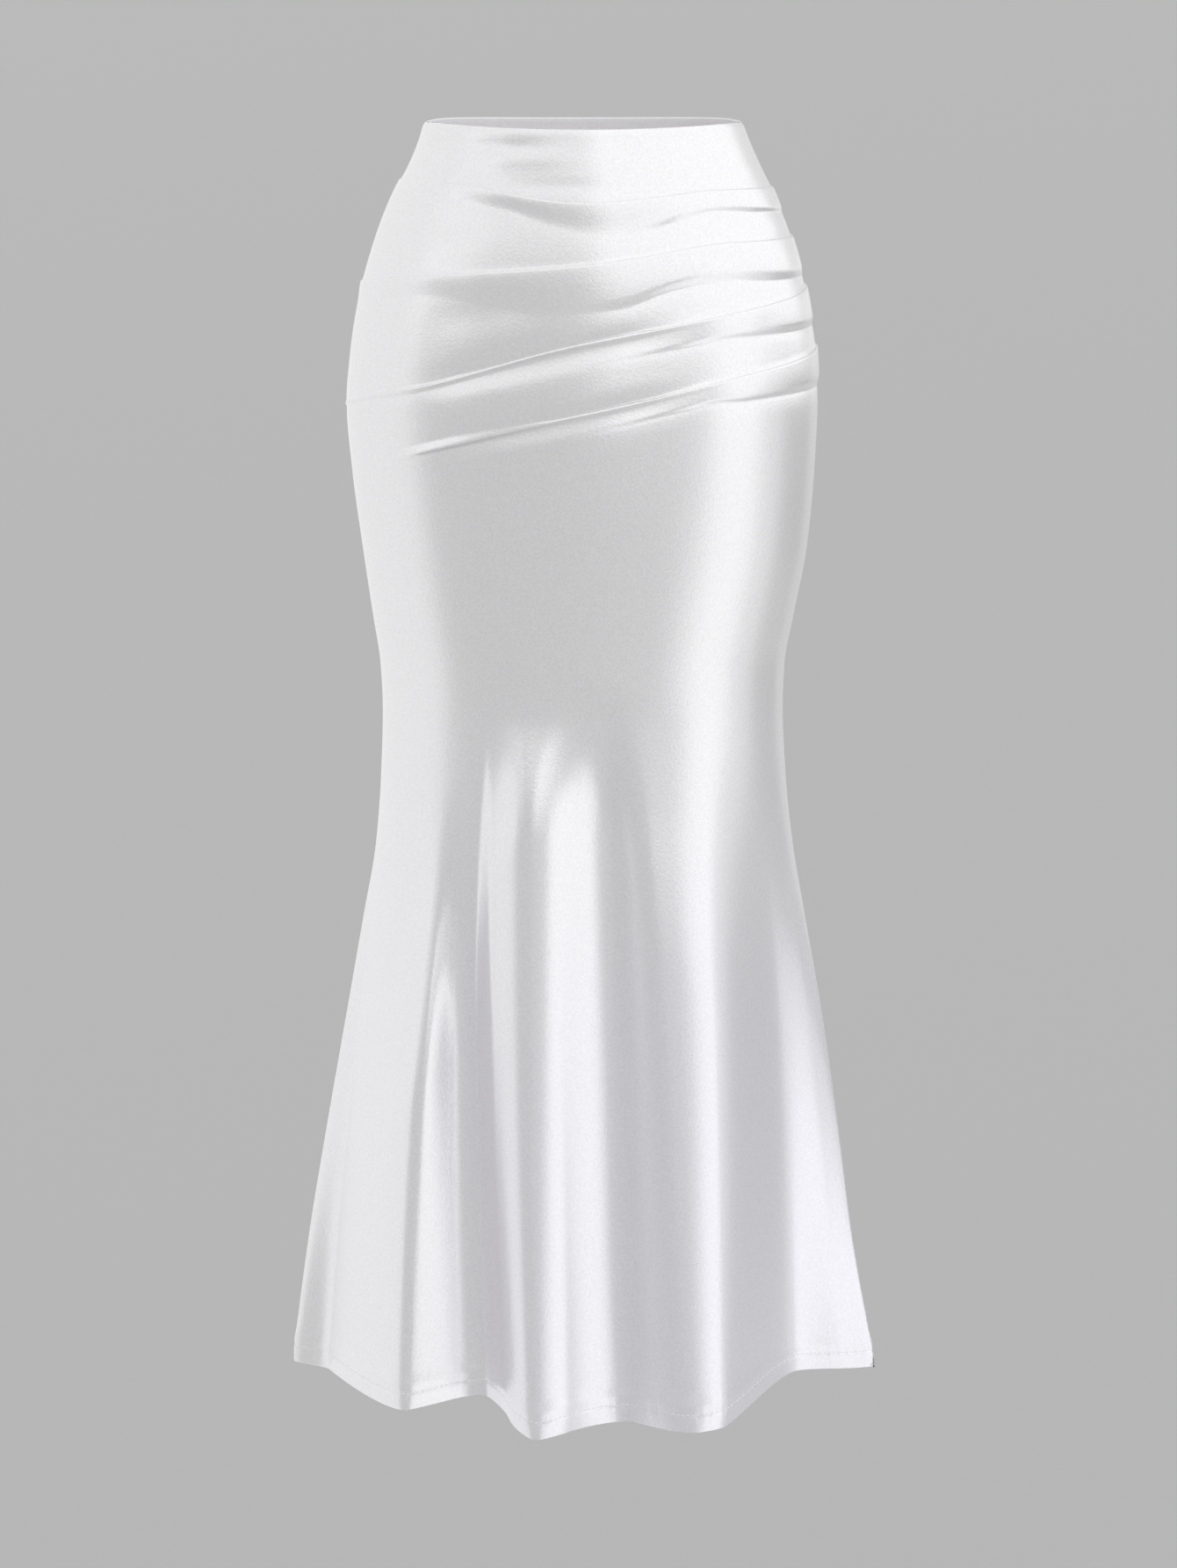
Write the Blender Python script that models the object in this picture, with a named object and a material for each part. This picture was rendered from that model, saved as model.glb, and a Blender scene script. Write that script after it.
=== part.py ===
"""A mermaid fishtail skirt in satin: the four pieces that are cut and sewn, each a closed wall of cloth.

Metres, +Z up. The origin is the middle of the waist opening, where the wearer's waist holds the skirt.
The front faces -Y, and the wearer's left side is +X. The skirt is hollow, open at the waist and at the hem.

Every point of the cloth is found from two numbers: its turn round the body, in degrees (-90 at the right
side seam, 0 at the middle of the front, 90 at the left side seam, 180 at the middle of the back), and its
height. Above the knee each level section is an oval. Below it the oval opens into the folds of the hem.
"""

import math
from collections import namedtuple

import bmesh
import bpy

# Cloth: one layer of satin with its seam allowances, the doubled waistband, and the turned hem.
PANEL_WALL = 0.0012
BAND_WALL = 0.0018
HEM_WALL = 0.0020
HEM_DEPTH = 0.014
HEM_STEP = 0.001
SEAM_GAP = 0.0003

# The waistband's upper edge is lower at the middle of the front and back than at the sides.
WAIST_DIP = 0.0028

# Level sections of the body: how far it reaches to the wearer's right and left, forward and back.
Section = namedtuple("Section", "height right left front back")
SECTIONS = (
    Section(0.0000, 0.1155, 0.1150, 0.093, 0.093),
    Section(-0.0160, 0.1205, 0.1213, 0.095, 0.096),
    Section(-0.0350, 0.1288, 0.1300, 0.098, 0.101),
    Section(-0.0550, 0.1405, 0.1400, 0.102, 0.107),
    Section(-0.0920, 0.1547, 0.1540, 0.109, 0.119),
    Section(-0.1300, 0.1651, 0.1642, 0.114, 0.130),
    Section(-0.1700, 0.1716, 0.1706, 0.117, 0.137),
    Section(-0.2050, 0.1745, 0.1722, 0.119, 0.139),
    Section(-0.2600, 0.1703, 0.1700, 0.118, 0.133),
    Section(-0.3120, 0.1637, 0.1654, 0.116, 0.124),
    Section(-0.3650, 0.1563, 0.1557, 0.114, 0.117),
    Section(-0.4000, 0.1513, 0.1496, 0.113, 0.114),
    Section(-0.4310, 0.1499, 0.1485, 0.112, 0.112),
    Section(-0.4850, 0.1517, 0.1513, 0.112, 0.112),
    Section(-0.5380, 0.1562, 0.1572, 0.113, 0.113),
    Section(-0.5920, 0.1658, 0.1666, 0.114, 0.115),
    Section(-0.6740, 0.1806, 0.1813, 0.116, 0.118),
    Section(-0.7570, 0.1956, 0.1937, 0.118, 0.121),
    Section(-0.8410, 0.2100, 0.2053, 0.120, 0.124),
    Section(-0.9457, 0.2247, 0.2247, 0.122, 0.126),
)
KNEE_HEIGHT = -0.431
HEM_HEIGHT = SECTIONS[-1].height

# Folds of the flare, as they stand at the hem. turn is where a fold's line leaves the knee, x and y are
# where it meets the hem, and low is how much lower the hem hangs there. heading is the way the hem runs, in
# degrees from +X, and arrive and leave are how far the hem holds that heading on each side. The fold starts
# at the height top. At the height full it has its full steepness, and below that it spreads with the flare.
Fold = namedtuple("Fold", "turn x y low heading arrive leave top full")
FRONT_FOLDS = (
    Fold(-90, -0.2247, 0.0000, 0.000, -90, 0.012, 0.012, -0.430, -0.900),
    Fold(-78, -0.1960, -0.0185, 0.001, -66, 0.022, 0.075, -0.430, -0.900),
    Fold(-44, -0.1320, -0.1140, 0.000, 0, 0.090, 0.012, -0.470, -0.700),
    Fold(-38, -0.0970, -0.0985, -0.003, 30, 0.026, 0.022, -0.460, -0.690),
    Fold(-32, -0.0765, -0.0940, -0.004, 0, 0.022, 0.010, -0.470, -0.620),
    Fold(-27, -0.0575, -0.1120, 0.006, -74, 0.022, 0.022, -0.420, -0.560),
    Fold(-15, -0.0345, -0.1345, 0.0165, 0, 0.024, 0.010, -0.395, -0.510),
    Fold(-6, -0.0095, -0.1215, 0.0145, 46, 0.030, 0.042, -0.395, -0.510),
    Fold(7, 0.0320, -0.0980, 0.0150, 0, 0.036, 0.030, -0.395, -0.510),
    Fold(19.5, 0.0790, -0.1190, 0.0165, 0, 0.040, 0.022, -0.400, -0.600),
    Fold(35, 0.1060, -0.1070, 0.0160, 50, 0.022, 0.050, -0.400, -0.640),
    Fold(64, 0.1620, -0.0350, -0.003, 38, 0.060, 0.030, -0.420, -0.680),
    Fold(79, 0.2010, -0.0170, 0.001, 26, 0.030, 0.016, -0.400, -0.700),
    Fold(90, 0.2247, -0.0060, 0.003, 30, 0.010, 0.012, -0.400, -0.800),
)
BACK_FOLDS = (
    Fold(90, 0.2247, -0.0060, 0.003, 90, 0.012, 0.012, -0.400, -0.800),
    Fold(104, 0.1960, 0.0130, 0.000, 150, 0.040, 0.040, -0.420, -0.780),
    Fold(130, 0.1350, 0.1220, 0.006, 180, 0.080, 0.040, -0.440, -0.680),
    Fold(147, 0.0860, 0.1050, 0.002, 180, 0.036, 0.080, -0.420, -0.600),
    Fold(168, 0.0250, 0.1780, 0.012, 180, 0.080, 0.050, -0.400, -0.540),
    Fold(190, -0.0370, 0.1400, 0.007, 180, 0.050, 0.055, -0.400, -0.560),
    Fold(212, -0.0980, 0.1620, 0.010, 180, 0.060, 0.085, -0.430, -0.640),
    Fold(246, -0.1810, 0.0300, 0.000, 194, 0.095, 0.030, -0.430, -0.760),
    Fold(270, -0.2247, 0.0000, 0.000, 270, 0.014, 0.012, -0.430, -0.900),
)
FLARE_FORWARD = -0.007
FLARE_BACK = 0.030
SPREAD = 0.70

# Tucks drawn across the front into the left side seam. Each line's height is given at five turns. The
# folded edge stands out by rise at the same five turns, and fades over reach below the line.
LINE_TURNS = (-90, -45, 0, 45, 90)
Tuck = namedtuple("Tuck", "heights rises reach")
WAIST_TUCK = Tuck(
    (-0.0480, -0.0455, -0.0518, -0.0465, -0.0495), (0.0006, 0.0010, 0.0014, 0.0016, 0.0018), 0.030
)
FRONT_TUCKS = (
    WAIST_TUCK,
    Tuck((-0.1165, -0.1068, -0.0970, -0.0830, -0.0832), (0.0010, 0.0012, 0.0022, 0.0028, 0.0030), 0.040),
    Tuck((-0.2065, -0.1872, -0.1528, -0.1310, -0.1190), (0.0008, 0.0016, 0.0026, 0.0030, 0.0030), 0.042),
    Tuck((-0.2580, -0.2335, -0.2025, -0.1760, -0.1628), (0.0000, 0.0010, 0.0020, 0.0024, 0.0026), 0.040),
)
LIP_DROP = 0.0008
TUCKS_END_HEIGHT = -0.300

# Steps round a panel, besides the points close to its side seams, and rows of points up it.
PANEL_STEPS = 52
SEAM_TURNS = (1, 3)
BAND_STEPS = 28
BAND_ROWS = 5
TUCK_ROWS = (0.14, 0.32, 0.58, 1.0)
BACK_HIP_ROWS = 9
THIGH_ROWS = 4
FLARE_ROWS = 13

SATIN_WHITE = (0.86, 0.86, 0.87, 1.0)
SATIN_ROUGHNESS = 0.32
BACK_WHITE = (0.80, 0.80, 0.81, 1.0)
SMOOTH_BELOW = math.radians(35)
TURN_NUDGE = 0.05


def clear_scene():
    for thing in list(bpy.data.objects):
        bpy.data.objects.remove(thing, do_unlink=True)


def smooth_value(places, values, place):
    """The value at a place on a curve through the given points, which never swings past them."""
    last = len(places) - 2
    span = 0
    while span < last and place > places[span + 1]:
        span += 1
    steps = [b - a for a, b in zip(places, places[1:])]
    slopes = [(b - a) / step for a, b, step in zip(values, values[1:], steps)]

    def slope_at(knot):
        if knot == 0:
            return slopes[0]
        if knot == len(slopes):
            return slopes[-1]
        before, after = slopes[knot - 1], slopes[knot]
        return 0.0 if before * after <= 0 else 2 * before * after / (before + after)

    step = steps[span]
    u = min(max((place - places[span]) / step, 0.0), 1.0)
    start = values[span] * (1 + 2 * u) * (1 - u) ** 2 + slope_at(span) * step * u * (1 - u) ** 2
    end = values[span + 1] * u * u * (3 - 2 * u) + slope_at(span + 1) * step * u * u * (u - 1)
    return start + end


def section_value(column, height):
    """One column of SECTIONS, smoothed to any height."""
    rows = SECTIONS[::-1]
    return smooth_value([row.height for row in rows], [getattr(row, column) for row in rows], height)


def line_value(values, turn):
    """A tuck's height or rise at a turn across the front."""
    return smooth_value(LINE_TURNS, values, turn)


def half_width(turn, height):
    return section_value("left" if math.sin(math.radians(turn)) > 0 else "right", height)


def depth(turn, height):
    return section_value("front" if math.cos(math.radians(turn)) > 0 else "back", height)


def flare_share(turn, height):
    """How far the oval has opened into the hem's folds: 0 at the knee, 1 at the hem."""
    if height >= KNEE_HEIGHT:
        return 0.0
    knee = half_width(turn, KNEE_HEIGHT)
    return (half_width(turn, height) - knee) / (half_width(turn, HEM_HEIGHT) - knee)


def hem_point(turn):
    """Where the line that leaves the knee at this turn meets the hem."""
    folds = FRONT_FOLDS if turn <= 90 else BACK_FOLDS
    place = 0
    while place < len(folds) - 2 and turn > folds[place + 1].turn:
        place += 1
    here, there = folds[place], folds[place + 1]
    u = (turn - here.turn) / (there.turn - here.turn)
    weights = (
        2 * u**3 - 3 * u**2 + 1,
        (u**3 - 2 * u**2 + u) * here.leave,
        3 * u**2 - 2 * u**3,
        (u**3 - u**2) * there.arrive,
    )
    go, come = math.radians(here.heading), math.radians(there.heading)
    x = weights[0] * here.x + weights[1] * math.cos(go) + weights[2] * there.x + weights[3] * math.cos(come)
    y = weights[0] * here.y + weights[1] * math.sin(go) + weights[2] * there.y + weights[3] * math.sin(come)
    return x, y


def fold_value(column, turn):
    """One column of the folds' tables, smoothed to any turn."""
    folds = FRONT_FOLDS + BACK_FOLDS[1:]
    return smooth_value([fold.turn for fold in folds], [getattr(fold, column) for fold in folds], turn)


def smooth_step(share):
    share = min(max(share, 0.0), 1.0)
    return share * share * (3 - 2 * share)


def cloth_point(turn, height):
    """The cloth's outer face at a turn and a height, without its tucks."""
    angle = math.radians(turn)
    wide = half_width(turn, height)
    share = flare_share(turn, height)
    hem_x, hem_y = hem_point(turn)
    x = (1 - share) * wide * math.sin(angle) + share * wide * hem_x / half_width(turn, HEM_HEIGHT)
    level = math.cos(angle)
    reach = (-FLARE_FORWARD if level > 0 else FLARE_BACK) * level**2
    wave = hem_y + depth(turn, HEM_HEIGHT) * level - reach
    top, full = fold_value("top", turn), fold_value("full", turn)
    grown = smooth_step((top - height) / (top - full)) * (SPREAD + (1 - SPREAD) * share)
    return x, -depth(turn, height) * level + reach * share + wave * grown


def hang(turn, height):
    """How much lower the cloth hangs for the low places of the hem."""
    fallen = max((KNEE_HEIGHT - height) / (KNEE_HEIGHT - HEM_HEIGHT), 0.0)
    return fold_value("low", turn) * fallen**2


def outward(turn, height, first, last):
    """The level direction out of the cloth. At a side seam it lies across the seam."""
    if turn in (first, last):
        return (math.sin(math.radians(turn)), 0.0)
    ahead = cloth_point(turn + TURN_NUDGE, height)
    behind = cloth_point(turn - TURN_NUDGE, height)
    along = (ahead[0] - behind[0], ahead[1] - behind[1])
    size = math.hypot(*along)
    return (along[1] / size, -along[0] / size)


def wall_points(turn, height, rise, wall, first, last):
    """The outer and the inner point of the wall. Both keep half a seam gap clear of the side seam."""
    x, y = cloth_point(turn, height)
    out = outward(turn, height, first, last)
    level = height - hang(turn, height)
    outer = [x + out[0] * rise, y + out[1] * rise, level]
    inner = [x - out[0] * wall, y - out[1] * wall, level]
    side = -1 if last <= 90 else 1
    for seam in (first, last):
        if abs(turn - seam) > max(SEAM_TURNS):
            continue
        edge = side * cloth_point(seam, height)[1] + SEAM_GAP / 2
        for point in (outer, inner):
            point[1] = side * max(side * point[1], edge)
    return outer, inner


def waist_edge(turn):
    return -WAIST_DIP * math.cos(math.radians(turn)) ** 2


def waist_seam(turn):
    """The seam under the waistband, which the back takes on from the two ends of the front's first tuck."""
    if turn <= 90:
        return line_value(WAIST_TUCK.heights, turn)
    share = (turn - 90) / 180
    return WAIST_TUCK.heights[-1] * (1 - share) + WAIST_TUCK.heights[0] * share


def tuck_rise(tuck, turn, drop):
    """How far a tuck stands out, a given drop below its line."""
    fade = min(max(drop / tuck.reach, 0.0), 1.0)
    return line_value(tuck.rises, turn) * (1 - fade * fade * (3 - 2 * fade))


def even_turns(first, last, steps):
    return [first + (last - first) * k / steps for k in range(steps + 1)]


def panel_turns(first, last):
    """Turns across a panel, closer together where the hem has more cloth, and at the side seams."""
    start, end = first + SEAM_TURNS[-1], last - SEAM_TURNS[-1]
    fine = even_turns(start, end, last - first)
    travelled = [0.0]
    for near, far in zip(fine, fine[1:]):
        at_hem = math.dist(hem_point(near), hem_point(far))
        at_knee = math.dist(cloth_point(near, KNEE_HEIGHT), cloth_point(far, KNEE_HEIGHT))
        travelled.append(travelled[-1] + at_hem + at_knee)
    wanted = [travelled[-1] * k / PANEL_STEPS for k in range(1, PANEL_STEPS)]
    across = [smooth_value(travelled, fine, distance) for distance in wanted]
    near_seams = [first, first + SEAM_TURNS[0], start, end, last - SEAM_TURNS[0], last]
    return sorted(across + near_seams)


def band_rows():
    """Rows of the waistband from its upper edge down, each a function of the turn."""
    def row(share):
        def values(turn):
            top, seam = waist_edge(turn), waist_seam(turn) + SEAM_GAP / 2
            return top + (seam - top) * share, 0.0, BAND_WALL
        return values
    return [row(k / BAND_ROWS) for k in range(BAND_ROWS + 1)]


def tucked_rows():
    """Rows of the front from the waist seam to the end of the tucks: a lip, then its fall to the next line."""
    rows = []
    for place, tuck in enumerate(FRONT_TUCKS):
        lower = FRONT_TUCKS[place + 1] if place + 1 < len(FRONT_TUCKS) else None

        def lip(turn, tuck=tuck, place=place):
            drop = SEAM_GAP / 2 if place == 0 else LIP_DROP
            return line_value(tuck.heights, turn) - drop, line_value(tuck.rises, turn), PANEL_WALL

        rows.append(lip)
        for share in TUCK_ROWS:
            def fall(turn, tuck=tuck, lower=lower, share=share):
                line = line_value(tuck.heights, turn)
                end = line_value(lower.heights, turn) if lower else TUCKS_END_HEIGHT
                height = line + (end - line) * share
                return height, tuck_rise(tuck, turn, line - height), PANEL_WALL
            rows.append(fall)
    return rows


def plain_rows(top, bottom, count):
    """Rows of a smooth stretch, without its first. The top may change with the turn."""
    def row(share):
        def values(turn):
            start = top(turn)
            return start + (bottom - start) * share, 0.0, PANEL_WALL
        return values
    return [row((k + 1) / count) for k in range(count)]


def flare_rows():
    """Rows from the knee to the hem, ending in the turned hem's thicker wall."""
    top_of_hem = HEM_HEIGHT + HEM_DEPTH
    rows = plain_rows(lambda turn: KNEE_HEIGHT, top_of_hem, FLARE_ROWS)
    rows.append(lambda turn: (top_of_hem - HEM_STEP, 0.0, HEM_WALL))
    rows.append(lambda turn: (HEM_HEIGHT, 0.0, HEM_WALL))
    return rows


def front_rows():
    return tucked_rows() + plain_rows(lambda turn: TUCKS_END_HEIGHT, KNEE_HEIGHT, THIGH_ROWS) + flare_rows()


def back_rows():
    def top(turn):
        return waist_seam(turn) - SEAM_GAP / 2
    start = [lambda turn: (top(turn), 0.0, PANEL_WALL)]
    hips = plain_rows(top, TUCKS_END_HEIGHT, BACK_HIP_ROWS)
    return start + hips + plain_rows(lambda turn: TUCKS_END_HEIGHT, KNEE_HEIGHT, THIGH_ROWS) + flare_rows()


def cloth_material(name, colour):
    material = bpy.data.materials.new(name)
    material.use_nodes = True
    shader = material.node_tree.nodes["Principled BSDF"]
    shader.inputs["Base Color"].default_value = colour
    shader.inputs["Roughness"].default_value = SATIN_ROUGHNESS
    shader.inputs["Metallic"].default_value = 0.0
    material.diffuse_color = colour
    return material


def cloth_piece(name, turns, rows, material):
    """One closed wall: an outer and an inner sheet over the same turns and rows, joined round their rims."""
    shape = bmesh.new()
    outer, inner = [], []
    for row in rows:
        pairs = [wall_points(turn, *row(turn), turns[0], turns[-1]) for turn in turns]
        outer.append([shape.verts.new(pair[0]) for pair in pairs])
        inner.append([shape.verts.new(pair[1]) for pair in pairs])
    for upper, lower in zip(range(len(rows) - 1), range(1, len(rows))):
        for near, far in zip(range(len(turns) - 1), range(1, len(turns))):
            shape.faces.new((outer[upper][near], outer[lower][near], outer[lower][far], outer[upper][far]))
            shape.faces.new((inner[upper][far], inner[lower][far], inner[lower][near], inner[upper][near]))
        for column in (0, -1):
            rim = (outer[upper][column], inner[upper][column], inner[lower][column], outer[lower][column])
            shape.faces.new(rim)
    for near, far in zip(range(len(turns) - 1), range(1, len(turns))):
        for row in (0, -1):
            shape.faces.new((outer[row][near], outer[row][far], inner[row][far], inner[row][near]))
    bmesh.ops.recalc_face_normals(shape, faces=shape.faces)
    mesh = bpy.data.meshes.new(name)
    shape.to_mesh(mesh)
    shape.free()
    mesh.shade_smooth()
    mesh.set_sharp_from_angle(angle=SMOOTH_BELOW)
    mesh.materials.append(material)
    piece = bpy.data.objects.new(name, mesh)
    bpy.context.scene.collection.objects.link(piece)
    return piece


def waistband_front():
    turns = even_turns(-90, 90, BAND_STEPS)
    return cloth_piece("waistband_front", turns, band_rows(), cloth_material("band_front_satin", SATIN_WHITE))


def waistband_back():
    turns = even_turns(90, 270, BAND_STEPS)
    return cloth_piece("waistband_back", turns, band_rows(), cloth_material("band_back_satin", BACK_WHITE))


def skirt_front():
    turns = panel_turns(-90, 90)
    return cloth_piece("skirt_front", turns, front_rows(), cloth_material("front_satin", SATIN_WHITE))


def skirt_back():
    turns = panel_turns(90, 270)
    return cloth_piece("skirt_back", turns, back_rows(), cloth_material("back_satin", BACK_WHITE))


clear_scene()
waistband_front()
waistband_back()
skirt_front()
skirt_back()
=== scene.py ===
"""A mermaid fishtail skirt in white satin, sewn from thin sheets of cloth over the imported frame.

Metres, +Z up. The origin is the middle of the waist opening, the front faces -Y, and the wearer's left side
is +X. A point of the cloth is found from its turn round the body, in degrees (-90 at the right side seam, 0
at the middle of the front, 90 at the left side seam, 180 at the middle of the back), its height, and how far
it stands out of the body's plain form. Where a tuck of the front is folded over, the cloth runs down behind
the folded edge and comes back over it. Elsewhere the tuck is a soft ridge.
"""

import math
from collections import namedtuple

import bpy
import numpy as np
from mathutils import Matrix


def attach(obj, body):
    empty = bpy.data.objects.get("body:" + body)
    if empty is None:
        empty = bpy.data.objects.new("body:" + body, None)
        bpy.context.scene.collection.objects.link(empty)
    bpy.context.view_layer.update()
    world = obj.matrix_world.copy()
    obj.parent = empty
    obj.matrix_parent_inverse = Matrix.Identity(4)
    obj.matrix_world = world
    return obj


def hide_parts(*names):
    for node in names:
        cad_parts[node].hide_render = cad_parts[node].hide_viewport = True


bl_info = {
    "name": "Mermaid fishtail skirt",
    "version": (1, 0, 0),
    "blender": (4, 5, 0),
    "location": "View3D > Sidebar > Skirt",
    "description": "Sews a tucked satin skirt with a fluted flare, and sets it in a plain studio",
    "category": "Object",
}

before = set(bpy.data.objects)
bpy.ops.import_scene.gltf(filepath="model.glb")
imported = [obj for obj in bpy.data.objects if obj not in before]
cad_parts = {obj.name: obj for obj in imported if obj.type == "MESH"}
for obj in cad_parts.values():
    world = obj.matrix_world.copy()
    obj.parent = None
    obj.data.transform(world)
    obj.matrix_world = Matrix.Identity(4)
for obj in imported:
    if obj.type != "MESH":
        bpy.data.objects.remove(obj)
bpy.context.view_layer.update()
BODY = "root"

# Level sections of the body: how far it reaches to the wearer's right and left, forward and back.
Section = namedtuple("Section", "height right left front back")
SECTIONS = (
    Section(0.0000, 0.1155, 0.1150, 0.093, 0.093),
    Section(-0.0160, 0.1205, 0.1213, 0.095, 0.096),
    Section(-0.0350, 0.1288, 0.1300, 0.098, 0.101),
    Section(-0.0550, 0.1405, 0.1400, 0.102, 0.107),
    Section(-0.0920, 0.1547, 0.1540, 0.109, 0.119),
    Section(-0.1300, 0.1651, 0.1642, 0.114, 0.130),
    Section(-0.1700, 0.1716, 0.1706, 0.117, 0.137),
    Section(-0.2050, 0.1745, 0.1722, 0.119, 0.139),
    Section(-0.2600, 0.1703, 0.1700, 0.118, 0.133),
    Section(-0.3120, 0.1637, 0.1654, 0.116, 0.124),
    Section(-0.3650, 0.1563, 0.1557, 0.114, 0.117),
    Section(-0.4000, 0.1513, 0.1496, 0.113, 0.114),
    Section(-0.4310, 0.1499, 0.1485, 0.112, 0.112),
    Section(-0.4850, 0.1517, 0.1513, 0.112, 0.112),
    Section(-0.5380, 0.1562, 0.1572, 0.113, 0.113),
    Section(-0.5920, 0.1658, 0.1666, 0.114, 0.115),
    Section(-0.6740, 0.1806, 0.1813, 0.116, 0.118),
    Section(-0.7570, 0.1956, 0.1937, 0.118, 0.121),
    Section(-0.8410, 0.2100, 0.2053, 0.120, 0.124),
    Section(-0.9457, 0.2247, 0.2247, 0.122, 0.126),
)
KNEE_HEIGHT = -0.431
HEM_HEIGHT = SECTIONS[-1].height

# The band's upper edge dips in the middle of the front and back, and a little at the side seams.
WAIST_DIP = 0.0028
SIDE_DIP = 0.0018
SIDE_DIP_SPREAD = 0.33

# Folds of the flare, as they stand at the hem. turn is where a fold's line leaves the knee, x and y are
# where it meets the hem, and low is how much lower the hem hangs there. heading is the way the hem runs, in
# degrees from +X, and arrive and leave are how far the hem holds that heading on each side. The fold starts
# at the height top. At the height full it has its full steepness, and below that it spreads with the flare.
Fold = namedtuple("Fold", "turn x y low heading arrive leave top full")
FRONT_FOLDS = (
    Fold(-90, -0.2247, 0.0000, 0.000, -90, 0.012, 0.012, -0.430, -0.900),
    Fold(-78, -0.1960, -0.0185, 0.001, -66, 0.022, 0.075, -0.430, -0.900),
    Fold(-44, -0.1315, -0.1150, 0.000, 0, 0.055, 0.010, -0.470, -0.700),
    Fold(-38, -0.0960, -0.0980, -0.003, 30, 0.022, 0.036, -0.460, -0.690),
    Fold(-32, -0.0750, -0.0925, -0.004, 0, 0.012, 0.010, -0.470, -0.620),
    Fold(-27, -0.0575, -0.1120, 0.006, -74, 0.022, 0.022, -0.420, -0.560),
    Fold(-15, -0.0345, -0.1345, 0.0165, 0, 0.024, 0.010, -0.395, -0.510),
    Fold(-6, -0.0095, -0.1215, 0.0145, 46, 0.030, 0.042, -0.395, -0.510),
    Fold(7, 0.0320, -0.0980, 0.0150, 0, 0.036, 0.030, -0.395, -0.510),
    Fold(19.5, 0.0790, -0.1190, 0.0165, 0, 0.040, 0.022, -0.400, -0.600),
    Fold(35, 0.1060, -0.1070, 0.0160, 50, 0.022, 0.050, -0.400, -0.640),
    Fold(64, 0.1620, -0.0350, -0.003, 38, 0.060, 0.030, -0.420, -0.680),
    Fold(79, 0.2010, -0.0170, 0.001, 26, 0.030, 0.016, -0.400, -0.700),
    Fold(90, 0.2247, -0.0060, 0.003, 30, 0.010, 0.012, -0.400, -0.800),
)
BACK_FOLDS = (
    Fold(90, 0.2247, -0.0060, 0.003, 90, 0.012, 0.012, -0.400, -0.800),
    Fold(104, 0.1960, 0.0130, 0.000, 150, 0.040, 0.040, -0.420, -0.780),
    Fold(130, 0.1350, 0.1220, 0.006, 180, 0.080, 0.040, -0.440, -0.680),
    Fold(147, 0.0860, 0.1050, 0.002, 180, 0.036, 0.080, -0.420, -0.600),
    Fold(168, 0.0250, 0.1780, 0.012, 180, 0.080, 0.050, -0.400, -0.540),
    Fold(190, -0.0370, 0.1400, 0.007, 180, 0.050, 0.055, -0.400, -0.560),
    Fold(212, -0.0980, 0.1620, 0.010, 180, 0.060, 0.085, -0.430, -0.640),
    Fold(246, -0.1810, 0.0300, 0.000, 194, 0.095, 0.030, -0.430, -0.760),
    Fold(270, -0.2247, 0.0000, 0.000, 270, 0.014, 0.012, -0.430, -0.900),
)

# How far the middle of the hem reaches forward and back of the body's oval before the folds are laid on it,
# and how much of a fold's full depth is there before the flare has spread.
FLARE_FORWARD = -0.007
FLARE_BACK = 0.030
SPREAD = 0.70

# Heights of the tucks' folded edges, at five turns across the front. The first is the waist seam.
LINE_TURNS = (-90, -45, 0, 45, 90)
TUCK_LINES = (
    (-0.0425, -0.0418, -0.0535, -0.0462, -0.0478),
    (-0.1165, -0.1068, -0.0970, -0.0830, -0.0832),
    (-0.2065, -0.1872, -0.1528, -0.1310, -0.1190),
    (-0.2580, -0.2335, -0.2025, -0.1760, -0.1628),
)

# How a tuck is folded as it crosses the front. rise is how far its edge stands out, and fold how far it is
# turned over: 0 for a soft ridge and 1 for an edge with cloth behind it. slope is the length of a soft
# ridge's upper side. The roll below the edge is roll wide, swells by crown and ends in a crease. near is 0
# where the cloth falls in over the whole roll, and 1 where it falls in close under the edge. A trough of
# depth trough lies at the foot of that fall and has levelled out after spread.
Lip = namedtuple("Lip", "turn rise fold slope roll crown crease trough spread near", defaults=(0,))
WAIST_TUCK = (
    Lip(-90, 0.0008, 1.0, 0.002, 0.0120, 0, 0, 0, 0.008),
    Lip(-55, 0.0011, 1.0, 0.002, 0.0130, 0, 0, 0, 0.008),
    Lip(-40, 0.0013, 1.0, 0.002, 0.0120, 0, 0, 0, 0.008),
    Lip(-24, 0.0015, 1.0, 0.002, 0.0120, 0, 0, 0.0002, 0.010),
    Lip(-8, 0.0016, 1.0, 0.002, 0.0180, 0, 0, 0.0002, 0.012),
    Lip(12, 0.0016, 1.0, 0.002, 0.0240, 0, 0, 0, 0.012),
    Lip(40, 0.0018, 1.0, 0.002, 0.0150, 0.0002, 0.0003, 0, 0.010),
    Lip(60, 0.0018, 1.0, 0.002, 0.0170, 0.0002, 0.0003, 0, 0.010),
    Lip(90, 0.0016, 1.0, 0.002, 0.0190, 0, 0.0002, 0, 0.010),
)
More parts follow.
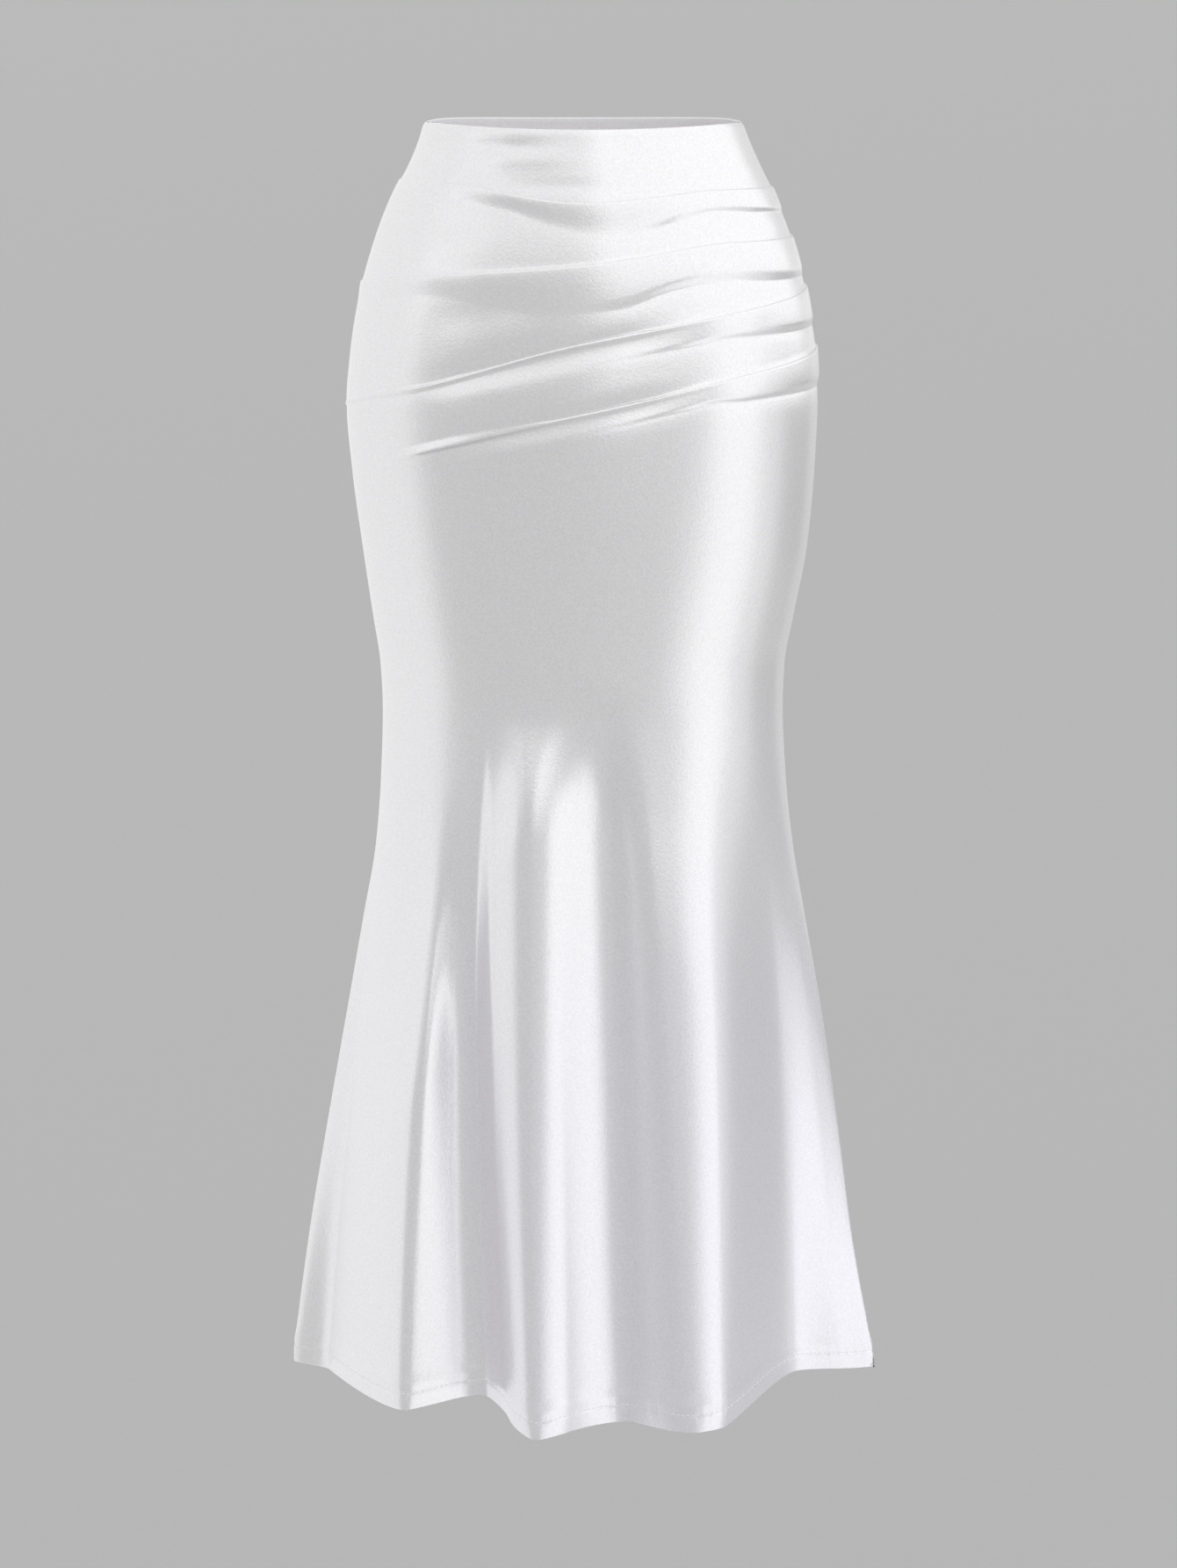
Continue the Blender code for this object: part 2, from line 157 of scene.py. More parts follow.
UPPER_TUCK = (
    Lip(-90, 0.0012, 0.8, 0.002, 0.0160, 0, 0, 0, 0.008),
    Lip(-45, 0.0015, 0.3, 0.003, 0.0160, 0, 0, 0, 0.008),
    Lip(-25, 0.0017, 0.2, 0.003, 0.0240, 0.0001, 0, 0, 0.010),
    Lip(-8, 0.0019, 0.2, 0.003, 0.0340, 0.0002, 0, 0, 0.012),
    Lip(8, 0.0019, 0.3, 0.003, 0.0340, 0.0003, 0.0001, 0, 0.012),
    Lip(24, 0.0019, 0.8, 0.002, 0.0270, 0.0004, 0.0002, 0, 0.012),
    Lip(36, 0.0021, 1.0, 0.002, 0.0262, 0.0005, 0.0003, 0, 0.012),
    Lip(60, 0.0022, 1.0, 0.002, 0.0290, 0.0005, 0.0004, 0, 0.012),
    Lip(90, 0.0018, 1.0, 0.002, 0.0300, 0.0003, 0.0002, 0, 0.012),
)
MIDDLE_TUCK = (
    Lip(-90, 0.0008, 0.6, 0.004, 0.0165, 0, 0.0002, 0.0002, 0.006, 1),
    Lip(-45, 0.0011, 0.3, 0.003, 0.0165, 0, 0.0002, 0.0002, 0.008, 1),
    Lip(-32, 0.0009, 0.1, 0.003, 0.0165, 0, 0.0002, 0.0003, 0.012, 1),
    Lip(-20, 0.0008, 0.1, 0.003, 0.0165, 0, 0.0002, 0.0004, 0.014, 1),
    Lip(-5, 0.0007, 0.1, 0.003, 0.0165, 0, 0.0002, 0.0004, 0.016, 1),
    Lip(12, 0.0008, 0.2, 0.003, 0.0165, 0.0001, 0.0002, 0.0003, 0.016, 0.75),
    Lip(23, 0.0012, 0.5, 0.002, 0.0165, 0.0002, 0.0002, 0.0002, 0.016, 0.45),
    Lip(34, 0.0018, 1.0, 0.002, 0.0168, 0.0003, 0.0003, 0, 0.014, 0.15),
    Lip(48, 0.0022, 1.0, 0.002, 0.0200, 0.0004, 0.0004, 0, 0.012),
    Lip(65, 0.0022, 1.0, 0.002, 0.0240, 0.0004, 0.0004, 0, 0.012),
    Lip(90, 0.0018, 1.0, 0.002, 0.0290, 0.0002, 0.0003, 0, 0.012),
)
LOWER_TUCK = (
    Lip(-90, 0, 0.0, 0.006, 0.0140, 0, 0.0002, 0, 0.004, 1),
    Lip(-52, 0, 0.0, 0.006, 0.0140, 0, 0.0002, 0, 0.004, 1),
    Lip(-42, 0.0016, 0.0, 0.007, 0.0140, 0, 0.0002, 0.0002, 0.004, 1),
    Lip(-32, 0.0015, 0.0, 0.008, 0.0140, 0, 0.0002, 0.0003, 0.008, 1),
    Lip(-22, 0.0012, 0.0, 0.007, 0.0140, 0, 0.0002, 0.0004, 0.012, 1),
    Lip(-14, 0.0009, 0.0, 0.005, 0.0140, 0, 0.0002, 0.0004, 0.014, 1),
    Lip(-5, 0.0007, 0.1, 0.003, 0.0140, 0, 0.0002, 0.0004, 0.015, 1),
    Lip(9, 0.0007, 0.2, 0.003, 0.0140, 0.0001, 0.0002, 0.0003, 0.016, 0.75),
    Lip(20, 0.0011, 0.5, 0.002, 0.0140, 0.0002, 0.0002, 0.0002, 0.016, 0.45),
    Lip(31, 0.0018, 1.0, 0.002, 0.0142, 0.0002, 0.0003, 0, 0.014, 0.15),
    Lip(42, 0.0022, 1.0, 0.002, 0.0190, 0.0004, 0.0005, 0, 0.012),
    Lip(60, 0.0023, 1.0, 0.002, 0.0225, 0.0005, 0.0006, 0, 0.012),
    Lip(90, 0.0018, 1.0, 0.002, 0.0290, 0.0002, 0.0004, 0, 0.012),
)
TUCKS = (WAIST_TUCK, UPPER_TUCK, MIDDLE_TUCK, LOWER_TUCK)

# A folded edge in section: how far down from the line and how far out, in shares of the depth and the
# thickness of the cloth behind it. The edge itself is rounded, by a share of its rise.
Step = namedtuple("Step", "down out")
BEHIND_THE_EDGE = (
    Step(-0.80, 0.00),
    Step(-0.30, 0.08),
    Step(-0.05, 0.26),
    Step(0.12, 0.28),
    Step(0.50, 0.05),
    Step(1.00, -0.10),
    Step(0.92, 0.10),
    Step(0.60, 0.22),
    Step(0.30, 0.34),
)
BEHIND_DEPTH = 0.0046
BEHIND_THICKNESS = 0.0020
EDGE_RADIUS = 0.0013
EDGE_SHARE = 0.50
EDGE_ANGLES = (180, 130, 90, 60, 30, 0)

# How the cloth falls in below an edge. Close under it, the fall takes NEAR_ROLL. Over a whole roll that ends
# in a crease of FULL_CREASE or more, the cloth leans in by the share ROLL_LEAN of the rise, and turns in
# sharply past the share ROLL_TURN of the roll. The crease reaches a little above and below.
NEAR_ROLL = 0.0034
ROLL_LEAN = 0.35
ROLL_TURN = 0.74
FULL_CREASE = 0.0002
CREASE_ABOVE = 0.0016
CREASE_BELOW = 0.0032

# Rows of cloth below an edge: close under it, over the roll from NEAR_END times the last close one and at
# least LEAST_DROP apart, past the roll, and on to the next tuck. The first rows of the uppermost tuck are
# left out, because the band covers them.
NEAR_DROPS = (0.0004, 0.0008, 0.0012, 0.0016, 0.0020, 0.0025, 0.0031)
NEAR_END = 1.1
ROLL_SHARES = (0.30, 0.45, 0.60, 0.72, 0.78, 0.83, 0.88, 0.92, 0.96, 1.0)
LEAST_DROP = 0.0002
PAST_ROLL = (0.0005, 0.0012, 0.0022, 0.0036)
ROWS_TO_NEXT = 10
ROWS_UNDER_BAND = 6

# The back's upper edge, which is turned in at the waist seam, in metres down and out.
TURNED_EDGE = (
    Step(0.0030, -0.0011),
    Step(0.0014, -0.0010),
    Step(0.0004, -0.0007),
    Step(0.0001, -0.0003),
    Step(0.0004, -0.00008),
    Step(0.0010, 0.0),
)

# Soft creases and ridges laid over the cloth: a line from one turn and height to another, how wide it
# reaches to each side, and how far it stands out or, below 0, sinks in. Each fades over the share
# CREASE_TAPER of its length at both ends. CLOTH_PER_DEGREE is the cloth in one degree of turn at the hips.
Crease = namedtuple("Crease", "turn height far_turn far_height reach depth")
CREASE_TAPER = 0.35
CLOTH_PER_DEGREE = 0.0026
BAND_CREASES = (
    Crease(-30, 0.0000, 50, 0.0000, 0.0200, -0.00160),
    Crease(-58, -0.0150, -6, -0.0150, 0.0050, -0.00045),
    Crease(-40, -0.0255, 0, -0.0225, 0.0060, 0.00040),
    Crease(18, -0.0100, 84, -0.0060, 0.0040, -0.00040),
    Crease(-80, -0.0200, -40, -0.0330, 0.0060, 0.00030),
    Crease(22, -0.0380, 78, -0.0400, 0.0040, -0.00030),
    Crease(-30, -0.0420, 14, -0.0430, 0.0050, -0.00035),
)
FRONT_CREASES = (
    Crease(-50, -0.1910, 28, -0.1385, 0.0100, -0.00190),
    Crease(-42, -0.2320, 36, -0.1810, 0.0100, -0.00170),
    Crease(-60, -0.0700, -20, -0.0680, 0.0090, -0.00060),
    Crease(-45, -0.1400, -8, -0.1240, 0.0120, -0.00070),
    Crease(20, -0.1420, 60, -0.1280, 0.0060, 0.00050),
)
BACK_CREASES = (
    Crease(96, -0.0900, 128, -0.1120, 0.0060, -0.00080),
    Crease(94, -0.1260, 140, -0.1620, 0.0080, -0.00110),
    Crease(95, -0.1680, 132, -0.2160, 0.0070, -0.00090),
    Crease(200, -0.0660, 236, -0.0800, 0.0080, -0.00060),
    Crease(232, -0.1300, 264, -0.1120, 0.0070, -0.00070),
    Crease(150, -0.3900, 205, -0.3760, 0.0120, -0.00080),
    Crease(120, -0.4200, 165, -0.4340, 0.0100, -0.00070),
)

# Columns of the sheets, and rows from the thigh down. The hem's length is measured at FINE_TURNS, and the
# way that the cloth faces over TURN_NUDGE degrees to each side.
PANEL_COLUMNS = 210
BAND_COLUMNS = 120
ROW_SPACING = 0.0042
THIGH_TOP = -0.300
FINE_TURNS = 1801
TURN_NUDGE = 0.05

# The side seams draw the cloth in over SEAM_EASE degrees, and its edges are turned in there. Two panels
# stay SEAM_GAP apart, which is kept over SEAM_GUARD degrees.
SEAM_EASE = 1.4
SEAM_EASE_COLUMNS = 5
SEAM_GROOVE = 0.0005
SEAM_TURN_IN = (0.0006, 0.0014, 0.0024)
SEAM_GAP = 0.0003
SEAM_GUARD = 3

# The waistband is doubled, and its folded upper edge rolls inwards. The last steps of the fold have the
# inside's matt finish and painted glow. In front the band's tail runs on behind the waist seam, and at the
# back it is drawn in where it meets the seam.
BAND_THICKNESS = 0.0018
BAND_ROWS = 30
BAND_FOLD_ANGLES = (30, 60, 90, 120, 150, 180)
BAND_INSIDE_ROWS = (0.08, 0.2, 0.4, 0.6, 0.8, 1.0)
BAND_FOLD_INSIDE = 2
BAND_ROLL = 0.0040
BAND_ROLL_IN = 0.0008
BAND_TAIL = 0.0016
BAND_DRAW = 0.0005
BAND_DRAW_REACH = 0.0012

# The hem is turned up inside and topstitched, which draws the cloth in along the stitches. The cloth puffs
# a little above them, and leans in below.
HEM_DEPTH = 0.0135
HEM_THICKNESS = 0.0009
HEM_ROWS = 12
HEM_FOLD_ANGLES = (0, 45, 90, 135, 180)
HEM_INSIDE_ROWS = (0.3, 0.65, 1.0)
HEM_LEAN = 0.0014
HEM_LEAN_POWER = 1.4
HEM_GROOVE = 0.00045
HEM_GROOVE_REACH = 0.0011
HEM_PUFF = 0.0006
HEM_PUFF_ABOVE = 0.0055
HEM_PUFF_REACH = 0.0045

# Small puckers lie across the stitches. They are uneven: their wave drifts by some radians, at so many
# radians to a metre of hem, and their strength changes by waves of a pace and a start.
PUCKER_LENGTH = 0.0074
PUCKER_DEPTH = 0.00022
PUCKER_REACH = 0.0075
PUCKER_DRIFTS = ((1.7, 61), (0.9, 143))
PUCKER_STRENGTH = 0.55
PUCKER_CHANGE = 0.45
PUCKER_WAVES = ((37, 0.8), (19, 2.1))

# One stitch from end to end: how far along it, how thick there, and how high it lies over the cloth.
StitchRing = namedtuple("StitchRing", "along thick over")
STITCH_RINGS = (
    StitchRing(0.00, 0.45, -0.00030),
    StitchRing(0.12, 0.85, 0.00002),
    StitchRing(0.50, 1.00, 0.00014),
    StitchRing(0.88, 0.85, 0.00002),
    StitchRing(1.00, 0.45, -0.00030),
)
STITCH_LENGTH = 0.0031
STITCH_GAP = 0.0008
THREAD_WIDTH = 0.00052
THREAD_HEIGHT = 0.00042
THREAD_SIDES = 6


class Curve:
    """A smooth curve through a few points, which never swings past them."""

    def __init__(self, places, values):
        order = np.argsort(places)
        self.places = np.array(places, float)[order]
        self.values = np.array(values, float)[order]
        self.steps = np.diff(self.places)
        slopes = np.diff(self.values) / self.steps
        before, after = slopes[:-1], slopes[1:]
        level = before * after <= 0
        inner = np.where(level, 0.0, 2 * before * after / np.where(level, 1.0, before + after))
        self.slopes = np.concatenate([slopes[:1], inner, slopes[-1:]])

    def __call__(self, place):
        span = np.clip(np.searchsorted(self.places, place, side="right") - 1, 0, len(self.steps) - 1)
        step = self.steps[span]
        u = np.clip((place - self.places[span]) / step, 0.0, 1.0)
        start = self.values[span] * (1 + 2 * u) * (1 - u) ** 2 + self.slopes[span] * step * u * (1 - u) ** 2
        end = self.values[span + 1] * u * u * (3 - 2 * u) + self.slopes[span + 1] * step * u * u * (u - 1)
        return start + end


def table_curves(rows, key):
    """A curve for each column of a table, against its key column."""
    places = [getattr(row, key) for row in rows]
    names = [name for name in rows[0]._fields if name != key]
    return {name: Curve(places, [getattr(row, name) for row in rows]) for name in names}


BODY_CURVES = table_curves(SECTIONS, "height")
FOLD_CURVES = table_curves(FRONT_FOLDS + BACK_FOLDS[1:], "turn")
LINE_CURVES = [Curve(LINE_TURNS, heights) for heights in TUCK_LINES]
LIP_CURVES = [table_curves(tuck, "turn") for tuck in TUCKS]


def smooth_step(share):
    """A share that leaves 0 and reaches 1 gently."""
    share = np.clip(share, 0.0, 1.0)
    return share * share * (3 - 2 * share)


def half_width(turn, height):
    """The body's reach to the side that a turn lies on."""
    left = np.sin(np.radians(turn)) > 0
    return np.where(left, BODY_CURVES["left"](height), BODY_CURVES["right"](height))


def depth(turn, height):
    """The body's reach forward, or back for a turn that lies behind."""
    front = np.cos(np.radians(turn)) > 0
    return np.where(front, BODY_CURVES["front"](height), BODY_CURVES["back"](height))


def hem_point(turn):
    """Where the line that leaves the knee at this turn meets the hem."""
    x, y = np.zeros_like(turn, float), np.zeros_like(turn, float)
    for folds, side in ((FRONT_FOLDS, turn <= 90), (BACK_FOLDS, turn > 90)):
        for here, there in zip(folds, folds[1:]):
            u = (turn - here.turn) / (there.turn - here.turn)
            within = side & (u >= -1e-9) & (u <= 1 + 1e-9)
            go, come = math.radians(here.heading), math.radians(there.heading)
            begin, begin_way = 2 * u**3 - 3 * u**2 + 1, (u**3 - 2 * u**2 + u) * here.leave
            end, end_way = 3 * u**2 - 2 * u**3, (u**3 - u**2) * there.arrive
            across = begin * here.x + begin_way * math.cos(go) + end * there.x + end_way * math.cos(come)
            along = begin * here.y + begin_way * math.sin(go) + end * there.y + end_way * math.sin(come)
            x, y = np.where(within, across, x), np.where(within, along, y)
    return x, y


def body_point(turn, height):
    """The plain form under the cloth's relief, at a turn and a height."""
    angle = np.radians(turn)
    wide = half_width(turn, height)
    knee, hem = half_width(turn, KNEE_HEIGHT), half_width(turn, HEM_HEIGHT)
    share = np.where(height >= KNEE_HEIGHT, 0.0, np.clip((wide - knee) / (hem - knee), 0.0, 1.0))
    hem_x, hem_y = hem_point(turn)
    x = (1 - share) * wide * np.sin(angle) + share * wide * hem_x / hem
    level = np.cos(angle)
    reach = np.where(level > 0, -FLARE_FORWARD, FLARE_BACK) * level**2
    wave = hem_y + depth(turn, HEM_HEIGHT) * level - reach
    top, full = FOLD_CURVES["top"](turn), FOLD_CURVES["full"](turn)
    grown = smooth_step((top - height) / (top - full)) * (SPREAD + (1 - SPREAD) * share)
    y = -depth(turn, height) * level + reach * share + wave * grown
    return x, y


def hang(turn, height):
    """How much lower the cloth hangs for the low places of the hem."""
    fallen = np.clip((KNEE_HEIGHT - height) / (KNEE_HEIGHT - HEM_HEIGHT), 0.0, 1.0)
    return FOLD_CURVES["low"](turn) * fallen**2


def cloth_points(turn, height, out, first, last):
    """Points of the cloth, standing out of the plain form. At a side seam, out is across the seam."""
    ahead = body_point(np.clip(turn + TURN_NUDGE, first, last), height)
    behind = body_point(np.clip(turn - TURN_NUDGE, first, last), height)
    along_x, along_y = ahead[0] - behind[0], ahead[1] - behind[1]
    size = np.hypot(along_x, along_y)
    at_seam = (np.abs(turn - first) < 1e-6) | (np.abs(turn - last) < 1e-6)
    out_x = np.where(at_seam, np.sin(np.radians(turn)), along_y / size)
    out_y = np.where(at_seam, 0.0, -along_x / size)
    x, y = body_point(turn, height)
    x, y = x + out_x * out, y + out_y * out
    side = -1 if last <= 90 else 1
    for seam in (first, last):
        seam_y = body_point(np.full_like(height, seam), height)[1]
        kept = side * np.maximum(side * y, side * seam_y + SEAM_GAP / 2)
        y = np.where(np.abs(turn - seam) < SEAM_GUARD, kept, y)
    return np.stack([x, y, height - hang(turn, height)], axis=-1)


def relief(turn, height, creases):
    """How far the soft creases move the cloth in or out."""
    out = np.zeros(np.broadcast(turn, height).shape)
    for crease in creases:
        start = (crease.turn * CLOTH_PER_DEGREE, crease.height)
        way = ((crease.far_turn - crease.turn) * CLOTH_PER_DEGREE, crease.far_height - crease.height)
        across, down = turn * CLOTH_PER_DEGREE - start[0], height - start[1]
        place = np.clip((across * way[0] + down * way[1]) / (way[0] ** 2 + way[1] ** 2), 0.0, 1.0)
        away = np.hypot(across - place * way[0], down - place * way[1])
        taper = smooth_step(np.minimum(place, 1 - place) / CREASE_TAPER)
        out = out + crease.depth * np.exp(-((away / crease.reach) ** 2)) * taper
    return out


def hem_travel(first, last):
    """Fine turns across a panel and the distance travelled along its hem to each."""
    fine = np.linspace(first, last, FINE_TURNS)
    x, y = hem_point(fine)
    return fine, np.concatenate([[0.0], np.cumsum(np.hypot(np.diff(x), np.diff(y)))])


def panel_turns(first, last, columns):
    """Turns across a panel, closer together where the hem has more cloth."""
    fine, at_hem = hem_travel(first, last)
    x, y = body_point(fine, np.full_like(fine, KNEE_HEIGHT))
    at_knee = np.concatenate([[0.0], np.cumsum(np.hypot(np.diff(x), np.diff(y)))])
    travelled = at_hem + at_knee
    inner = np.interp(np.linspace(0, travelled[-1], columns + 1)[1:-1], travelled, fine)
    inner = inner[(inner > first + SEAM_EASE) & (inner < last - SEAM_EASE)]
    ease = np.linspace(0, SEAM_EASE, SEAM_EASE_COLUMNS)
    return np.concatenate([first + ease, inner, last - ease[::-1]])


def seam_draw(turn, first, last):
    """The side seams draw the cloth in beside them."""
    near = np.minimum(turn - first, last - turn)
    return -SEAM_GROOVE * np.clip(1 - near / SEAM_EASE, 0.0, 1.0) ** 2


def hem_relief(turn, height, first, last):
    """The topstitched hem: a groove along the stitches, the cloth puffed above it and leaning in below."""
    over = height - (HEM_HEIGHT + HEM_DEPTH)
    fine, travelled = hem_travel(first, last)
    along = np.interp(turn, fine, travelled)
    lean = -HEM_LEAN * np.clip(-over / HEM_DEPTH, 0.0, 1.0) ** HEM_LEAN_POWER
    groove = -HEM_GROOVE * np.exp(-((over / HEM_GROOVE_REACH) ** 2))
    puff = HEM_PUFF * np.exp(-(((over - HEM_PUFF_ABOVE) / HEM_PUFF_REACH) ** 2))
    phase = 2 * math.pi * along / PUCKER_LENGTH
    for amount, pace in PUCKER_DRIFTS:
        phase = phase + amount * np.sin(along * pace)
    change = PUCKER_CHANGE
    for pace, start in PUCKER_WAVES:
        change = change * np.sin(along * pace + start)
    pucker = PUCKER_DEPTH * np.sin(phase) * (PUCKER_STRENGTH + change)
    return lean + groove + puff + pucker * np.exp(-np.abs(over) / PUCKER_REACH)


def edge_radius(rise):
    """How round a folded edge is, for how far it stands out."""
    return np.minimum(EDGE_RADIUS, EDGE_SHARE * rise)


def lip_values(place, turn):
    """How the tuck at this place is folded, at each turn."""
    return {name: curve(turn) for name, curve in LIP_CURVES[place].items()}


def roll_out(lip, drop):
    """How far the cloth stands out a given drop below a tuck's line."""
    near = lip["near"]
    short = np.clip(drop / NEAR_ROLL, 0.0, 1.0)
    share = np.clip(drop / lip["roll"], 0.0, 1.0)
    full = np.clip(lip["crease"] / FULL_CREASE, 0.0, 1.0)
    turned = ROLL_LEAN * share + (1 - ROLL_LEAN) * smooth_step((share - ROLL_TURN) / (1 - ROLL_TURN))
    whole = 1 - full * turned - (1 - full) * smooth_step(share)
    fall = near * (1 - smooth_step(short)) + (1 - near) * whole
    bulge = near * np.sin(math.pi * short) + (1 - near) * np.sin(math.pi * share)
    foot = near * NEAR_ROLL + (1 - near) * lip["roll"]
    level = np.clip(1 - (drop - foot) / lip["spread"], 0.0, 1.0) ** 2
    sunk = lip["trough"] * smooth_step(np.clip(drop / foot, 0.0, 1.0)) * level
    past = drop - lip["roll"]
    crease = np.exp(-((past / np.where(past < 0, CREASE_ABOVE, CREASE_BELOW)) ** 2))
    return lip["rise"] * fall + lip["crown"] * bulge - sunk - (1 - near) * lip["crease"] * crease


def tuck_rows(place, turn):
    """Rows of one tuck from above its line to past its roll: pairs of height and out."""
    line, lip = LINE_CURVES[place](turn), lip_values(place, turn)
    radius = edge_radius(lip["rise"])
    count = len(BEHIND_THE_EDGE) + len(EDGE_ANGLES)
    rows = []
    for step in range(count):
        ridge_share = step / (count - 1)
        ridge_down = radius - lip["slope"] * (1 - ridge_share)
        ridge_out = lip["rise"] * smooth_step(ridge_share)
        if step < len(BEHIND_THE_EDGE):
            fold_down = BEHIND_THE_EDGE[step].down * BEHIND_DEPTH + radius * ridge_share
            fold_out = BEHIND_THE_EDGE[step].out * np.minimum(BEHIND_THICKNESS, lip["rise"])
        else:
            angle = math.radians(EDGE_ANGLES[step - len(BEHIND_THE_EDGE)])
            fold_down = radius - radius * math.sin(angle)
            fold_out = lip["rise"] - radius + radius * math.cos(angle)
        down = ridge_down + (fold_down - ridge_down) * lip["fold"]
        rows.append((line - down, ridge_out + (fold_out - ridge_out) * lip["fold"]))
    if place == 0:
        rows = rows[ROWS_UNDER_BAND:]
    drops = [radius + near for near in NEAR_DROPS]
    near_end = radius + NEAR_DROPS[-1] * NEAR_END
    for step, share in enumerate(ROLL_SHARES):
        drops.append(np.maximum(share * lip["roll"], near_end + LEAST_DROP * step))
    drops += [drops[-1] + past for past in PAST_ROLL]
    return rows + [(line - drop, roll_out(lip, drop)) for drop in drops]


def front_rows(turn):
    """All rows of the front panel, from its top edge to the hem's inner edge."""
    tucks = [tuck_rows(place, turn) for place in range(len(TUCKS))]
    ends = [tuck[0][0] for tuck in tucks[1:]] + [np.full_like(turn, THIGH_TOP)]
    rows = []
    for place, (tuck, end) in enumerate(zip(tucks, ends)):
        rows += tuck
        line, lip = LINE_CURVES[place](turn), lip_values(place, turn)
        start = rows[-1][0]
        for step in range(1, ROWS_TO_NEXT + 1):
            share = step / (ROWS_TO_NEXT + 1)
            height = start + (end - start) * share
            rows.append((height, roll_out(lip, line - height)))
    return rows + lower_rows(turn, THIGH_TOP)


def lower_rows(turn, top):
    """Rows from a level line down to the stitches, then down the turned hem and up inside it."""
    stitches = HEM_HEIGHT + HEM_DEPTH
    level = np.zeros_like(turn)
    count = round((top - stitches) / ROW_SPACING)
    rows = [(level + top + (stitches - top) * k / count, level) for k in range(count)]
    rows += [(level + stitches - HEM_DEPTH * k / HEM_ROWS, level) for k in range(HEM_ROWS)]
    fold = HEM_THICKNESS / 2
    for angle in HEM_FOLD_ANGLES:
        turned = math.radians(angle)
        height = level + HEM_HEIGHT + fold - fold * math.sin(turned)
        rows.append((height, level - fold + fold * math.cos(turned)))
    inside = level - HEM_THICKNESS
    rows += [(level + HEM_HEIGHT + HEM_DEPTH * share, inside) for share in HEM_INSIDE_ROWS]
    return rows


def back_rows(turn):
    """All rows of the back panel. Its top edge is turned in at the waist seam."""
    top = waist_seam(turn)
    rows = [(top - step.down, np.full_like(turn, step.out)) for step in TURNED_EDGE]
    start = top - TURNED_EDGE[-1].down
    count = round((start.mean() - THIGH_TOP) / ROW_SPACING)
    for step in range(1, count):
        rows.append((start + (THIGH_TOP - start) * step / count, np.zeros_like(turn)))
    return rows + lower_rows(turn, THIGH_TOP)


def waist_edge(turn):
    """Height of the waistband's upper edge."""
    level = np.cos(np.radians(turn))
    return -WAIST_DIP * level**2 - SIDE_DIP * np.exp(-((level / SIDE_DIP_SPREAD) ** 2))


def waist_seam(turn):
    """The seam under the waistband, which the back takes on from the two ends of the front's first tuck."""
    share = (turn - 90) / 180
    back = TUCK_LINES[0][-1] * (1 - share) + TUCK_LINES[0][0] * share
    return np.where(turn <= 90, LINE_CURVES[0](np.minimum(turn, 90)), back)


def band_rows(turn):
    """Rows of the doubled waistband: up its outer face, over its folded edge and down inside."""
    top, seam = waist_edge(turn), waist_seam(turn)
    radius = BAND_THICKNESS / 2
    tail = np.where(turn <= 90, seam - BAND_TAIL, seam)
    rows = []
    for step in range(BAND_ROWS + 1):
        height = tail + (top - radius - tail) * step / BAND_ROWS
        drawn = -BAND_DRAW * np.exp(-(((height - tail) / BAND_DRAW_REACH) ** 2)) * (turn > 90)
        rows.append((height, band_lean(top - height) + drawn))
    for angle in BAND_FOLD_ANGLES:
        turned = math.radians(angle)
        out = band_lean(radius) - radius + radius * math.cos(turned)
        rows.append((top - radius + radius * math.sin(turned), out))
    for share in BAND_INSIDE_ROWS:
        height = top - radius + (tail - top + radius) * share
        rows.append((height, band_lean(top - height) - BAND_THICKNESS))
    return rows


def band_lean(down):
    """How far the band's outer face leans in, close under its upper edge."""
    return -BAND_ROLL_IN * np.clip(1 - down / BAND_ROLL, 0.0, 1.0) ** 2


def cloth_sheet(name, turns, rows, shape, material):
    """A sheet over the given turns and rows, with its side edges turned in at the seams."""
    first, last = turns[0], turns[-1]
    heights = np.array([np.broadcast_to(row[0], turns.shape) for row in rows])
    outs = np.array([np.broadcast_to(row[1], turns.shape) for row in rows])
    outs = outs + shape(np.broadcast_to(turns, heights.shape), heights)
    edge_in = np.array(SEAM_TURN_IN)
    extra = len(edge_in)
    columns = np.concatenate([np.full(extra, first), turns, np.full(extra, last)])
    outs = np.concatenate([outs[:, :1] - edge_in[::-1], outs, outs[:, -1:] - edge_in], axis=1)
    heights = np.pad(heights, ((0, 0), (extra, extra)), mode="edge")
    points = cloth_points(np.broadcast_to(columns, heights.shape), heights, outs, first, last)
    count, width = heights.shape
    corner = np.arange(count * width).reshape(count, width)
    quads = np.stack([corner[:-1, :-1], corner[1:, :-1], corner[1:, 1:], corner[:-1, 1:]], axis=-1)
    return mesh_object(name, points.reshape(-1, 3), quads.reshape(-1, 4), material)


